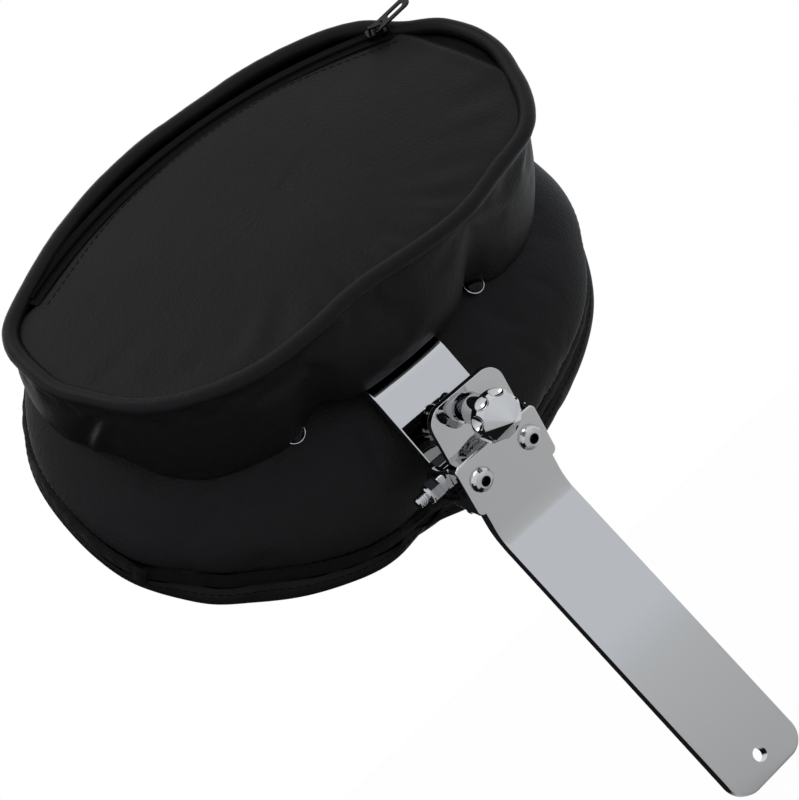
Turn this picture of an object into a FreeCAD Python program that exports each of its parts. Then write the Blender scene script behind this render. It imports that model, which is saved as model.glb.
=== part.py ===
import FreeCAD, Part
import math
import os

os.makedirs("parts", exist_ok=True)

# Motorcycle driver backrest, in millimetres, with +Z up along the blade and +Y to the rear.
# The origin is the middle of the pin hole on the rear face of the blade.

# Blade and its head
blade_width = 50.8
blade_gauge = 7.9
pin_hole_d = 8.0
pin_to_end = 12.4
end_round = 12.0
edge_round = 1.4
bend_height = 173.0
bend_radius = 24.0
head_lean = 35.7
head_width = 58.0
head_from = 16.0
head_to = 49.0

# Folding bracket and its tab
bracket_gauge = 4.0
bracket_from = 17.0
bracket_to = 47.6
tab_width = 50.4
tab_top = 79.5
tab_round = 11.0
ear_round = 10.0

# Hinge, measured along the head and forward of its rear face
hinge_along = 31.9
hinge_forward = 27.5
hinge_bolt_d = 6.35
hinge_bolt_reach = 16.4
nut_flats = 11.1
nut_height = 7.9
washer_d = 15.0
washer_gauge = 1.6
bush_d = 9.5
bush_flange_d = 14.0
block_round = 8.5
running_fit = 0.05
side_play = 0.05

# Socket screws that hold the bracket to the head
head_screw_d = 8.0
head_screw_head_d = 14.0
head_screw_along = 34.5
head_screw_half_pitch = 17.8

# Recline stop: threaded stud with a pointed knob
stud_d = 8.0
stud_along = 67.0
stud_past_tab = 20.0
knob_d = 28.0
knob_neck_d = 17.0
knob_rim_from = 13.0
knob_rim_to = 17.5
knob_shoulder = 20.6
knob_tip = 31.0
knob_scoops = 8
knob_scoop_d = 10.4

# Upright strap of the pad
strap_width = 50.8
strap_gauge = 6.35
strap_foot_back = 1.72
strap_foot_rise = 12.05
strap_lean = 5.3
strap_bend = 20.0
strap_top = 78.0

# Pad: an oval cushion with a rounded back
pad_width = 354.0
pad_height = 280.0
pad_back = 61.0
pad_front = 38.0
pad_seam = 16.0
pad_forward = 73.7
pad_rise = 105.0
pad_lean = 9.5
cover = 1.6
shell = 4.0
skin_gap = 0.3
land = 56.0
plate_gauge = 6.0
plate_width = 90.0
plate_low = -38.0
plate_high = 64.0
mount_screw_d = 6.0
mount_screw_x = 14.0
mount_screw_z = (-18.0, 50.0)
insert_d = 10.0
insert_length = 12.0
snap_d = 12.0
snap_x = 67.0
snap_z = -55.0

# Pouch on the back of the pad
pouch_half_width = 157.0
pouch_half_height = 85.5
pouch_end_round = 74.0
pouch_behind_pad = 105.1
pouch_above_pad = 50.9
pouch_lean = 27.0
piping_d = 8.0
face_gauge = 5.0
hem_level = 49.0
hem_flare_side = -2.0
hem_flare_up = 11.5
hem_centre = 30.0

# Zip along the top of the pouch
zip_gap = 11.0
zip_chain = 3.2
zip_chain_height = 1.9
tape_gauge = 1.2
zip_drop = 10.0
zip_end = 36.0
slider_length = 12.0
pull_length = 25.0
pull_width = 7.6
pull_gauge = 1.2
pull_bar_d = 1.8
pull_rise = 30.0

V = FreeCAD.Vector
AXIS_X = V(1, 0, 0)
AXIS_Y = V(0, 1, 0)
AXIS_Z = V(0, 0, 1)
ORIGIN = V(0, 0, 0)


def lean(shape, degrees, y, z):
    """Turn a shape about X, top forward when positive, and set its own origin at y, z."""
    turned = shape.copy()
    turned.rotate(ORIGIN, AXIS_X, degrees)
    turned.translate(V(0, y, z))
    return turned


def on_head(shape):
    """Head frame: Z runs up the head, Y is square to its rear face."""
    return lean(shape, -head_lean, 0, bend_height)


def on_pad(shape):
    """Pad frame: origin at the middle of the widest outline."""
    return lean(shape, pad_lean, pad_centre_y, pad_centre_z)


def on_pouch(shape):
    """Pouch frame: origin at the middle of the rear face."""
    return lean(shape, pouch_lean, pouch_centre_y, pouch_centre_z)


def block(x0, x1, y0, y1, z0, z1):
    return Part.makeBox(x1 - x0, y1 - y0, z1 - z0, V(x0, y0, z0))


def prism_x(points, x0, x1):
    """Outline of (y, z) points drawn out along X."""
    corners = [V(x0, y, z) for y, z in points]
    outline = Part.makePolygon(corners + corners[:1])
    return Part.Face(outline).extrude(V(x1 - x0, 0, 0))


def turned_y(points):
    """Outline of (radius, y) points turned about Y."""
    corners = [V(r, y, 0) for r, y in points]
    outline = Part.makePolygon(corners + corners[:1])
    return Part.Face(outline).revolve(ORIGIN, AXIS_Y, 360)


def rod_y(diameter, y0, y1, x=0.0, z=0.0):
    return Part.makeCylinder(diameter / 2, y1 - y0, V(x, y0, z), AXIS_Y)


def rod_x(diameter, x0, x1, y=0.0, z=0.0):
    return Part.makeCylinder(diameter / 2, x1 - x0, V(x0, y, z), AXIS_X)


def hexagon_y(flats, y0, y1):
    r = flats / math.sqrt(3)
    angles = [math.radians(60 * i) for i in range(6)]
    corners = [V(r * math.cos(a), y0, r * math.sin(a)) for a in angles]
    return Part.Face(Part.makePolygon(corners + corners[:1])).extrude(V(0, y1 - y0, 0))


def to_x(shape):
    """Lay a part built along Y over to run along X."""
    turned = shape.copy()
    turned.rotate(ORIGIN, AXIS_Z, -90)
    return turned


def moved(shape, x, y, z):
    copy = shape.copy()
    copy.translate(V(x, y, z))
    return copy


def joined(shapes):
    solid = shapes[0]
    for other in shapes[1:]:
        solid = solid.fuse(other)
    return solid.removeSplitter()


def save(shape, node):
    shape.exportStep("parts/" + node + ".step")


lean_sin = math.sin(math.radians(head_lean))
lean_cos = math.cos(math.radians(head_lean))
hinge_y = hinge_along * lean_sin - hinge_forward * lean_cos
hinge_z = bend_height + hinge_along * lean_cos + hinge_forward * lean_sin
strap_foot_y = hinge_y + strap_foot_back
strap_foot_z = hinge_z + strap_foot_rise
pad_centre_y = strap_foot_y - pad_forward
pad_centre_z = strap_foot_z + pad_rise
pouch_centre_y = pad_centre_y + pouch_behind_pad
pouch_centre_z = pad_centre_z + pouch_above_pad
half_blade = blade_width / 2
half_head = head_width / 2

# Blade: flat bar with a rounded lower end and a soft bend below its wider head
setback = bend_radius * math.tan(math.radians(head_lean / 2))
bend_mid_y = math.cos(math.radians(head_lean / 2))
bend_mid_z = math.sin(math.radians(head_lean / 2))
bend_y = bend_radius
bend_z = bend_height - setback
outer_bend = bend_radius + blade_gauge


def head_point(along, off):
    return V(-half_blade, along * lean_sin + off * lean_cos, bend_height + along * lean_cos - off * lean_sin)


rear_low = V(-half_blade, 0, -pin_to_end)
rear_bend = V(-half_blade, 0, bend_z)
rear_mid = V(-half_blade, bend_y - bend_radius * bend_mid_y, bend_z + bend_radius * bend_mid_z)
front_low = V(-half_blade, -blade_gauge, -pin_to_end)
front_bend = V(-half_blade, -blade_gauge, bend_z)
front_mid = V(-half_blade, bend_y - outer_bend * bend_mid_y, bend_z + outer_bend * bend_mid_z)
side = Part.Wire([
    Part.makeLine(rear_low, rear_bend),
    Part.Arc(rear_bend, rear_mid, head_point(setback, 0)).toShape(),
    Part.makeLine(head_point(setback, 0), head_point(head_to - 6, 0)),
    Part.makeLine(head_point(head_to - 6, 0), head_point(head_to - 6, -blade_gauge)),
    Part.makeLine(head_point(head_to - 6, -blade_gauge), head_point(setback, -blade_gauge)),
    Part.Arc(head_point(setback, -blade_gauge), front_mid, front_bend).toShape(),
    Part.makeLine(front_bend, front_low),
    Part.makeLine(front_low, rear_low),
])
bar = Part.Face(side).extrude(V(blade_width, 0, 0))
end_corners = [e for e in bar.Edges
               if e.BoundBox.ZMax < 1 - pin_to_end and e.BoundBox.XLength < 0.01]
bar = bar.makeFillet(end_round, end_corners)
long_edges = [e for e in bar.Edges
              if e.BoundBox.XLength < 0.01 and e.BoundBox.ZLength > blade_gauge + 1]
low_edges = [e for e in bar.Edges
             if e.BoundBox.ZMax < end_round - pin_to_end + 0.5 and e.BoundBox.YLength < 0.01]
bar = bar.makeFillet(edge_round, long_edges + low_edges)
head = block(-half_head, half_head, -blade_gauge, 0, head_from, head_to)
head = head.makeFillet(4.0, [e for e in head.Edges if e.BoundBox.YLength > 1])
head = head.makeFillet(edge_round, [e for e in head.Edges if e.BoundBox.YMin > -0.01])
blade = joined([bar, on_head(head)])
blade = blade.cut(rod_y(pin_hole_d, -20, 20))
for x in (-head_screw_half_pitch, head_screw_half_pitch):
    blade = blade.cut(on_head(rod_y(head_screw_d + 0.4, -20, 20, x, head_screw_along)))
save(blade, "blade")

# Folding bracket: channel with two rounded ears, and a tab for the recline stop
web_rear = -blade_gauge
web_front = -blade_gauge - bracket_gauge
web = block(-half_head, half_head, web_front, web_rear, bracket_from, bracket_to)
tab = block(-tab_width / 2, tab_width / 2, web_front, web_rear, bracket_to - 2, tab_top)
tab = tab.makeFillet(tab_round, [e for e in tab.Edges
                                 if e.BoundBox.YLength > 1 and e.BoundBox.ZMin > tab_top - 0.01])
pieces = [web, tab]
for x in (-half_head, half_head - bracket_gauge):
    pieces.append(prism_x([(web_rear - 0.01, bracket_from + 1), (web_rear - 0.01, bracket_to - 1),
                           (-hinge_forward, hinge_along + ear_round),
                           (-hinge_forward, hinge_along - ear_round)], x, x + bracket_gauge))
    pieces.append(rod_x(2 * ear_round, x, x + bracket_gauge, -hinge_forward, hinge_along))
bracket = joined(pieces)
bracket = bracket.cut(rod_x(hinge_bolt_d + 2 * running_fit, -40, 40, -hinge_forward, hinge_along))
for x in (-head_screw_half_pitch, head_screw_half_pitch):
    bracket = bracket.cut(rod_y(head_screw_d, -30, 5, x, head_screw_along))
bracket = bracket.cut(rod_y(stud_d + 2 * running_fit, -30, 5, 0, stud_along))
save(on_head(bracket), "bracket")

# Two button-head socket screws through the head into the tapped channel
crown = head_screw_head_d / 2
screw = turned_y([(0, web_front), (head_screw_d / 2 - 0.05, web_front), (head_screw_d / 2 - 0.05, 0),
                  (crown, 0), (crown, 0.7), (crown * 0.93, 1.9), (crown * 0.78, 3.1),
                  (crown * 0.56, 4.0), (crown * 0.42, 4.3), (0, 4.3)])
screw = screw.cut(hexagon_y(5.0, 1.6, 6))
screws = [moved(screw, x, 0, head_screw_along) for x in (-head_screw_half_pitch, head_screw_half_pitch)]
save(on_head(Part.makeCompound(screws)), "head_screws")

# Hinge bolt through both ears, with washers and a lock nut
bolt_r = hinge_bolt_d / 2
under_head = -half_head - washer_gauge
bolt_end = half_head + hinge_bolt_reach
bolt = turned_y([(0, under_head - 1), (bolt_r, under_head - 1), (bolt_r, bolt_end - 1),
                 (bolt_r - 1, bolt_end), (0, bolt_end)])
bolt = joined([bolt, hexagon_y(nut_flats, under_head - 4.2, under_head)])
save(moved(to_x(bolt), 0, hinge_y, hinge_z), "hinge_bolt")
nut_from = half_head + washer_gauge
nut = hexagon_y(nut_flats, nut_from, nut_from + nut_height - 2)
nut_end = nut_from + nut_height
nut_cap = turned_y([(0, nut_from + 1), (nut_flats / 2, nut_from + 1), (nut_flats / 2, nut_end - 0.8),
                    (nut_flats / 2 - 0.8, nut_end), (0, nut_end)])
nut = joined([nut, nut_cap]).cut(rod_y(hinge_bolt_d + 0.1, nut_from - 1, nut_from + 20))
save(moved(to_x(nut), 0, hinge_y, hinge_z), "hinge_nut")
washer = rod_x(washer_d, 0, washer_gauge).cut(rod_x(hinge_bolt_d + 0.6, -1, 5))
washers = [moved(washer, x, hinge_y, hinge_z) for x in (half_head, under_head)]
save(Part.makeCompound(washers), "hinge_washers")

# Hinge block of the pad side, with a flanged bush at each end
ear_inside = half_head - bracket_gauge
flange = 0.5
half_block = ear_inside - flange - 2 * side_play
strap_sin = math.sin(math.radians(strap_lean))
strap_cos = math.cos(math.radians(strap_lean))


def strap_point(rear, up):
    """Strap frame: offset to the rear of the foot's rear face and up along the strap."""
    return (strap_foot_y + up * strap_sin + rear * strap_cos,
            strap_foot_z + up * strap_cos - rear * strap_sin)


knuckle = rod_x(2 * block_round, -half_block, half_block, hinge_y, hinge_z)
neck = prism_x([(hinge_y - block_round, hinge_z), strap_point(-strap_gauge - 0.4, 0), strap_point(0.2, 0),
                (hinge_y + block_round, hinge_z)], -half_block, half_block)
knuckle = joined([knuckle, neck]).cut(rod_x(bush_d + 0.1, -head_width, head_width, hinge_y, hinge_z))
save(knuckle, "hinge_block")
bush = turned_y([(hinge_bolt_d / 2 + running_fit, half_block - 14), (bush_d / 2, half_block - 14),
                 (bush_d / 2, half_block), (bush_flange_d / 2, half_block),
                 (bush_flange_d / 2, half_block + flange),
                 (hinge_bolt_d / 2 + running_fit, half_block + flange)])
bush = to_x(bush)
far_bush = bush.copy()
far_bush.rotate(ORIGIN, AXIS_Z, 180)
bushes = [moved(b, 0, hinge_y, hinge_z) for b in (bush, far_bush)]
save(Part.makeCompound(bushes), "hinge_bushes")

# Recline stop: stud through the tab, weld nut on its front, pointed knob with scoops round its rim
stud = turned_y([(0, web_front - stud_past_tab), (stud_d / 2 - 1, web_front - stud_past_tab),
                 (stud_d / 2, web_front - stud_past_tab + 1), (stud_d / 2, 8), (0, 8)])
save(on_head(moved(stud, 0, 0, stud_along)), "stop_stud")
weld_nut = hexagon_y(13.0, web_front - 6.5, web_front).cut(rod_y(stud_d + 2 * running_fit, -40, 5))
save(on_head(moved(weld_nut, 0, 0, stud_along)), "stop_nut")
rim = knob_d / 2
neck_r = knob_neck_d / 2
knob = turned_y([(0, -4.5), (neck_r - 1, -4.5), (neck_r, -3.5), (neck_r, knob_rim_from - 5),
                 (rim - 2.2, knob_rim_from - 2.2), (rim, knob_rim_from), (rim, knob_rim_to),
                 (rim - 2.2, knob_shoulder), (0.7, knob_tip), (0, knob_tip)])
for i in range(knob_scoops):
    angle = math.radians(360 * (i + 0.5) / knob_scoops)
    out = rim + 2.0
    scoop_at = V(out * math.cos(angle), knob_rim_to + 1.0, out * math.sin(angle))
    knob = knob.cut(Part.makeSphere(knob_scoop_d / 2, scoop_at))
knob = knob.cut(rod_y(stud_d + 0.1, -20, 8.05))
save(on_head(moved(knob, 0, 0, stud_along)), "stop_knob")

# Upright strap: rises from the hinge block, then lies along the back of the pad
strap_rear = land + cover + plate_gauge + strap_gauge
pad_sin = math.sin(math.radians(pad_lean))
pad_cos = math.cos(math.radians(pad_lean))


def pad_point(y, z):
    """Pad frame point as world (y, z)."""
    return (pad_centre_y + y * pad_cos - z * pad_sin, pad_centre_z + y * pad_sin + z * pad_cos)


def meet(rear, level):
    """Where a line up the strap's foot crosses a level of the pad frame, as a pad frame height."""
    y0, z0 = strap_point(rear, 0)
    near = (y0 - pad_centre_y) * pad_cos + (z0 - pad_centre_z) * pad_sin
    rise = strap_sin * pad_cos + strap_cos * pad_sin
    up = (level - near) / rise
    y1, z1 = strap_point(rear, up)
    return -(y1 - pad_centre_y) * pad_sin + (z1 - pad_centre_z) * pad_cos


rear_turn = meet(0, strap_rear)
front_turn = meet(-strap_gauge, strap_rear - strap_gauge)
strap = prism_x([strap_point(0, 0), pad_point(strap_rear, rear_turn), pad_point(strap_rear, strap_top),
                 pad_point(strap_rear - strap_gauge, strap_top),
                 pad_point(strap_rear - strap_gauge, front_turn), strap_point(-strap_gauge, 0)],
                -strap_width / 2, strap_width / 2)
turn_levels = (pad_point(strap_rear, rear_turn)[1], pad_point(strap_rear - strap_gauge, front_turn)[1])
turn_edges = [e for e in strap.Edges if e.BoundBox.XLength > 1
              and min(abs(e.BoundBox.ZMin - level) for level in turn_levels) < 0.1]
strap = strap.makeFillet(strap_bend, turn_edges)
side_edges = [e for e in strap.Edges if e.BoundBox.XLength < 0.01 and e.Length > strap_gauge + 2]
strap = strap.makeFillet(1.0, side_edges)
for x in (-mount_screw_x, mount_screw_x):
    for z in mount_screw_z:
        strap = strap.cut(on_pad(rod_y(mount_screw_d + 0.6, 0, 90, x, z)))
save(strap, "strap")

# Mounting plate between the strap and the pad
plate_front = land + cover
plate = block(-plate_width / 2, plate_width / 2, plate_front, plate_front + plate_gauge,
              plate_low, plate_high)
plate = plate.makeFillet(12.0, [e for e in plate.Edges if e.BoundBox.YLength > 1])
mount_screw = turned_y([(0, land - insert_length + 2), (mount_screw_d / 2, land - insert_length + 2),
                        (mount_screw_d / 2, strap_rear), (5.6, strap_rear), (5.2, strap_rear + 1.8),
                        (3.4, strap_rear + 3.0), (0, strap_rear + 3.2)])
mount_screw = mount_screw.cut(hexagon_y(4.0, strap_rear + 1.0, strap_rear + 6))
insert = rod_y(insert_d, land - insert_length, land)
insert = insert.cut(rod_y(mount_screw_d + 0.1, land - insert_length + 1.9, land + 1))
mount_screws = []
inserts = []
insert_pockets = []
for x in (-mount_screw_x, mount_screw_x):
    for z in mount_screw_z:
        plate = plate.cut(rod_y(mount_screw_d + 0.6, 0, 90, x, z))
        mount_screws.append(moved(mount_screw, x, 0, z))
        inserts.append(moved(insert, x, 0, z))
        insert_pockets.append(rod_y(insert_d + 0.1, land - insert_length - 0.1, land + 1, x, z))
save(on_pad(plate), "mount_plate")
save(on_pad(Part.makeCompound(mount_screws)), "mount_screws")
save(on_pad(Part.makeCompound(inserts)), "shell_inserts")

# Pad: cushion outline turned about its own axis and stretched to an oval
back_power = 2.6
front_power = 3.0


def cushion_arc(inset, y0, y1):
    """Outline of the cushion, smaller by the inset, between two levels on one side of its widest line."""
    radius = pad_height / 2 - inset
    depth = pad_back - inset
    power = back_power
    if y0 + y1 < 0:
        depth = inset - pad_front
        power = front_power
    t0 = math.asin((y0 / depth) ** (power / 2))
    t1 = math.asin((y1 / depth) ** (power / 2))
    points = []
    for i in range(13):
        t = t0 + (t1 - t0) * i / 12
        across = max(math.cos(t), 0.0) ** (2 / power)
        points.append(V(radius * across, depth * math.sin(t) ** (2 / power), 0))
    if points[-1].x < 0.01:
        points[-1].x = 0.0
    curve = Part.BSplineCurve()
    curve.interpolate(points)
    return curve.toShape()


def start(edge):
    return edge.valueAt(edge.FirstParameter)


def end(edge):
    return edge.valueAt(edge.LastParameter)


def turned_oval(arcs):
    """Close a run of outline arcs with straight lines, turn it about Y and stretch it to the oval."""
    edges = []
    for i, arc in enumerate(arcs):
        edges.append(arc)
        here = end(arc)
        following = start(arcs[(i + 1) % len(arcs)])
        if here.distanceToPoint(following) > 0.001:
            edges.append(Part.makeLine(here, following))
    half = Part.Face(Part.Wire(edges))
    stretch = FreeCAD.Matrix()
    stretch.scale(pad_width / pad_height, 1, 1)
    return half.revolve(ORIGIN, AXIS_Y, 360).transformGeometry(stretch)


def flat(x0, x1, y):
    return Part.makeLine(V(x0, y, 0), V(x1, y, 0))


def reverse_arc(edge):
    curve = edge.Curve.copy()
    curve.reverse()
    return curve.toShape()


seam_gap = 0.4
lining = cover
shell_out = cover + skin_gap
shell_in = shell_out + shell
foam_in = shell_in + skin_gap

outer = cushion_arc(0, pad_seam, land + cover)
inner = cushion_arc(lining, pad_seam, land)
back_cover = turned_oval([outer, flat(end(outer).x, 0, land + cover), flat(0, end(inner).x, land),
                          reverse_arc(inner)])
outer = cushion_arc(0, seam_gap, pad_seam - seam_gap)
inner = cushion_arc(lining, seam_gap, pad_seam - seam_gap)
edge_band = turned_oval([outer, reverse_arc(inner)])
outer = cushion_arc(0, 0, -pad_front)
inner = cushion_arc(lining, 0, lining - pad_front)
front_cover = turned_oval([outer, reverse_arc(inner)])
outer = cushion_arc(shell_out, pad_seam, land)
inner = cushion_arc(shell_in, pad_seam, land - shell)
back_shell = turned_oval([outer, flat(end(outer).x, 0, land), flat(0, end(inner).x, land - shell),
                          reverse_arc(inner)])
inner = cushion_arc(foam_in, pad_seam - skin_gap, land - shell - skin_gap)
step = cushion_arc(shell_out, 0, pad_seam - skin_gap)
nose = cushion_arc(shell_out, 0, shell_out - pad_front)
foam = turned_oval([reverse_arc(nose), step, inner, flat(end(inner).x, 0, land - shell - skin_gap)])
for x in (-mount_screw_x, mount_screw_x):
    for z in mount_screw_z:
        back_cover = back_cover.cut(rod_y(mount_screw_d + 0.6, land - 5, 90, x, z))
for pocket in insert_pockets:
    back_shell = back_shell.cut(pocket)
    foam = foam.cut(pocket)
save(on_pad(back_cover), "pad_back_cover")
save(on_pad(edge_band), "pad_edge_band")
save(on_pad(front_cover), "pad_front_cover")
save(on_pad(back_shell), "pad_shell")
save(on_pad(foam), "pad_foam")

# Snap fasteners under the ends of the pouch's arch, square to the rounded back
snaps = []
for x in (-snap_x, snap_x):
    reach = math.hypot(x / (pad_width / 2), snap_z / (pad_height / 2))
    height = pad_back * (1 - reach ** back_power) ** (1 / back_power)
    slope = reach ** (back_power - 2)
    normal = V(slope * x / (pad_width / 2) ** 2, (height / pad_back) ** (back_power - 1) / pad_back,
               slope * snap_z / (pad_height / 2) ** 2)
    normal.normalize()
    foot = V(x, height, snap_z) + normal * 0.6
    cap = turned_y([(0, 0), (snap_d / 2 - 0.6, 0), (snap_d / 2, 0.6), (snap_d / 2, 1.2),
                    (snap_d / 2 - 1.4, 2.6), (snap_d / 2 - 3.4, 3.2), (0, 3.3)])
    cap.Placement = FreeCAD.Placement(foot, FreeCAD.Rotation(AXIS_Y, normal))
    snaps.append(cap)
save(on_pad(Part.makeCompound(snaps)), "hem_snaps")


def oval(half_width, half_height, end_radius, y, z=0.0):
    """Closed outline of two end arcs and two long arcs."""
    a = half_width - end_radius
    long_radius = (a * a + half_height ** 2 - end_radius ** 2) / (2 * (half_height - end_radius))
    span = long_radius - end_radius
    tx = a + end_radius * a / span
    tz = end_radius * (long_radius - half_height) / span
    right = Part.Arc(V(tx, y, z - tz), V(half_width, y, z), V(tx, y, z + tz)).toShape()
    top = Part.Arc(V(tx, y, z + tz), V(0, y, z + half_height), V(-tx, y, z + tz)).toShape()
    left = Part.Arc(V(-tx, y, z + tz), V(-half_width, y, z), V(-tx, y, z - tz)).toShape()
    low = Part.Arc(V(-tx, y, z - tz), V(0, y, z - half_height), V(tx, y, z - tz)).toShape()
    return Part.Wire([right, top, left, low])


# Pouch: soft bag between the rear face and the back of the pad, arched over the strap
piping_r = piping_d / 2
bag_top = oval(pouch_half_width - 0.5, pouch_half_height - 0.5, pouch_end_round - 0.5, -piping_r - 1.5)
bag_hem = oval(pouch_half_width + hem_flare_side, pouch_half_height + hem_flare_up,
               pouch_end_round + hem_flare_up, hem_level, hem_centre)
bag = Part.makeLoft([on_pouch(bag_top), on_pad(bag_hem)], True, False)
arch_level = strap_rear + 4.5
arch = [V(-95, 20, -150), V(-95, hem_level - 4, -150), V(-80, land + 8, -150),
        V(-52, arch_level, -150), V(52, arch_level, -150), V(80, land + 8, -150), V(95, hem_level - 4, -150),
        V(95, 20, -150)]
tunnel = Part.Face(Part.makePolygon(arch + arch[:1])).extrude(V(0, 0, 150 + strap_top + 6))
bag = bag.cut(on_pad(tunnel))
for level, above in ((hem_level - 0.5, 5.0), (hem_level + 4.0, land + cover + 0.6 - hem_level - 4.0)):
    reach = (1 - (level / pad_back) ** back_power) ** (1 / back_power)
    around = Part.Ellipse(ORIGIN, reach * pad_width / 2 + 1, reach * pad_height / 2 + 1).toShape()
    around.rotate(ORIGIN, AXIS_X, 90)
    hollow = Part.Face(Part.Wire(around)).extrude(V(0, above, 0))
    bag = bag.cut(on_pad(moved(hollow, 0, level, 0)))
save(bag, "pouch_bag")

# Rear face of the pouch and the piping round it
spine = oval(pouch_half_width, pouch_half_height, pouch_end_round, -1.0)
circle = Part.Wire(Part.makeCircle(piping_r, V(pouch_half_width, -1.0, 0), AXIS_Z))
piping = spine.makePipeShell([circle], True, True)
save(on_pouch(piping), "pouch_piping")
inset = piping_r + 0.4
rim_wire = oval(pouch_half_width - inset, pouch_half_height - inset, pouch_end_round - inset, -face_gauge)
face = Part.Face(rim_wire).extrude(V(0, face_gauge, 0))

# Zip: one long arc, as far inside the piping at its two ends as at its middle
zip_span = pouch_half_width - zip_end
zip_sag = pouch_half_height - zip_drop - math.sqrt((pouch_end_round - zip_drop) ** 2
                                                   - (zip_span - pouch_half_width + pouch_end_round) ** 2)
zip_radius = (zip_span ** 2 + zip_sag ** 2) / (2 * zip_sag)
arc_z = pouch_half_height - zip_drop - zip_radius
slider_at = math.degrees(math.asin(zip_span / zip_radius))
chain_end = slider_at + math.degrees((slider_length / 2 + 1.5) / zip_radius)


def arc_strip(inner, outer_radius, y0, y1, half):
    """Strip along the zip's arc, to a number of degrees on both sides of its middle."""
    def at(radius, degrees):
        a = math.radians(degrees)
        return V(radius * math.sin(a), y0, arc_z + radius * math.cos(a))
    edges = [Part.Arc(at(outer_radius, -half), at(outer_radius, 0), at(outer_radius, half)).toShape(),
             Part.makeLine(at(outer_radius, half), at(inner, half)),
             Part.Arc(at(inner, half), at(inner, 0), at(inner, -half)).toShape(),
             Part.makeLine(at(inner, -half), at(outer_radius, -half))]
    return Part.Face(Part.Wire(edges)).extrude(V(0, y1 - y0, 0))


seat = tape_gauge + 0.3
zip_inner = zip_radius - zip_gap / 2
face = face.cut(arc_strip(zip_inner, zip_radius + zip_gap / 2 + piping_d, -seat, 2, chain_end + 1))
save(on_pouch(face), "pouch_face")
tape_inset = inset + 0.3
tape_wire = oval(pouch_half_width - tape_inset, pouch_half_height - tape_inset,
                 pouch_end_round - tape_inset, -seat)
tape_room = Part.Face(tape_wire).extrude(V(0, seat, 0))
tapes = [arc_strip(zip_inner + 0.3, zip_radius - 0.1, 0.2 - seat, -0.1, chain_end + 0.6),
         arc_strip(zip_radius + 0.1, zip_radius + zip_gap / 2, 0.2 - seat, -0.1, chain_end + 0.6)]
save(on_pouch(Part.makeCompound([tape.common(tape_room) for tape in tapes])), "zip_tapes")
chain = arc_strip(zip_radius - zip_chain / 2, zip_radius + zip_chain / 2, 0, zip_chain_height, chain_end)
save(on_pouch(chain), "zip_chain")

# Zip slider that rides over the chain, and its pull; both built at the middle of the arc
slide_gap = 0.4
wall = 1.3
half_slider = zip_chain / 2 + slide_gap + wall
cap_y = zip_chain_height + slide_gap
slider = block(-slider_length / 2, slider_length / 2, slide_gap, cap_y + wall,
               zip_radius - half_slider, zip_radius + half_slider)
slider = slider.makeFillet(1.8, [e for e in slider.Edges if e.BoundBox.YLength > 1])
slider = slider.cut(arc_strip(zip_radius - zip_chain / 2 - slide_gap, zip_radius + zip_chain / 2 + slide_gap,
                              -1, cap_y, 10).translated(V(0, 0, -arc_z)))
loop_y = cap_y + wall
loop_bar = 1.2
window = 3.0
loop = block(-4.2, 4.2, loop_y - 0.2, loop_y + window + loop_bar, zip_radius - 1.0, zip_radius + 1.0)
loop = loop.cut(block(-2.8, 2.8, loop_y, loop_y + window, zip_radius - 2, zip_radius + 2))
slider = joined([slider, loop])
pin_y = loop_y + window / 2
pull = block(-pull_length, 0, -pull_gauge / 2, pull_gauge / 2, -pull_width / 2, pull_width / 2)
pull = pull.makeFillet(3.0, [e for e in pull.Edges
                             if e.BoundBox.YLength > 1 and e.BoundBox.XMax < 0])
pull = joined([pull, Part.makeCylinder(pull_bar_d / 2, pull_width, V(0, 0, -pull_width / 2), AXIS_Z)])
pull = pull.cut(block(-6.0, -pull_bar_d / 2, -3, 3, -1.5, 1.5))
slot = block(-pull_length + 4.0, -9.5, -3, 3, -1.6, 1.6)
slot = slot.makeFillet(1.5, [e for e in slot.Edges if e.BoundBox.YLength > 1])
pull = pull.cut(slot)
pull.rotate(ORIGIN, AXIS_Z, -pull_rise)
pull = moved(pull, 0, pin_y, zip_radius)


def along_zip(shape):
    """Swing a part from the middle of the arc to its place along the zip."""
    swung = shape.copy()
    swung.rotate(ORIGIN, AXIS_Y, -slider_at)
    swung.translate(V(0, 0, arc_z))
    return swung


save(on_pouch(along_zip(slider)), "zip_slider")
save(on_pouch(along_zip(pull)), "zip_pull")
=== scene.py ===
import math

import bmesh
import bpy
from mathutils import Matrix, Vector, kdtree, noise


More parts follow.
